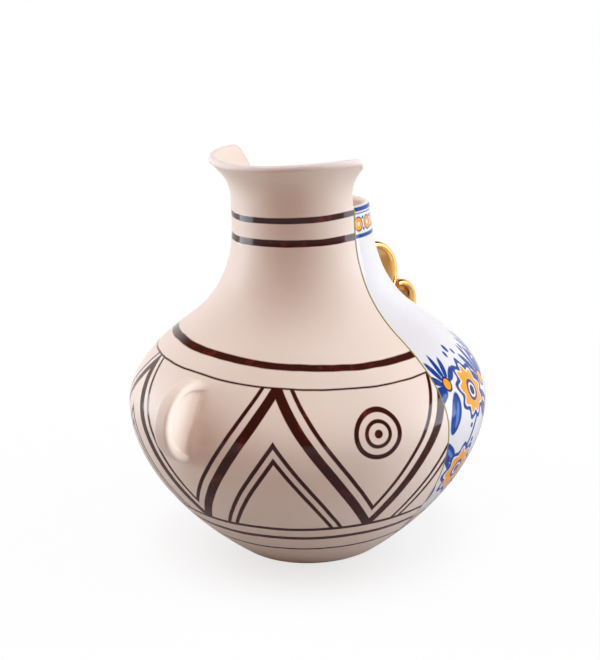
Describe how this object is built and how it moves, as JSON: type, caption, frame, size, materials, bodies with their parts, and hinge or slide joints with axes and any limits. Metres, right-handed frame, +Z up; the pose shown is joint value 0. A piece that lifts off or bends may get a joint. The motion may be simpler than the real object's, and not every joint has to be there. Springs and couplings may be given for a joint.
{
  "type": "hydria jar",
  "caption": "Round-bellied ceramic jar in a matt cream half and a glossy white half, with a flared half lip, a solid ear lug and a gilt double-loop handle.",
  "frame": {"origin": "centre of the flat underside, on the jar's axis", "axes": "+Z up along the jar's axis; the halves meet on the plane y = 0, with the cream half and its lug at -Y and the white half and its gilt handle at +Y"},
  "size_m": [0.25, 0.2671, 0.2769],
  "materials": {
    "bare_clay": "unglazed",
    "cream_matt": "matt, with glossy brown painted bands",
    "white_glaze": "gloss, painted in blue and orange",
    "olive_slip": "satin",
    "gilt_lustre": "polished gilt lustre"
  },
  "bodies": {
    "root": {"base_disc": "bare_clay", "cream_belly_shell": "cream_matt", "cream_neck_lip": "cream_matt", "white_belly_shell": "white_glaze", "white_neck_collar": "white_glaze", "front_seam_strip": "olive_slip", "back_seam_strip": "olive_slip", "cream_lug_handle": "cream_matt", "gilt_upper_loop": "gilt_lustre", "gilt_lower_loop": "gilt_lustre"}
  },
  "joints": []
}
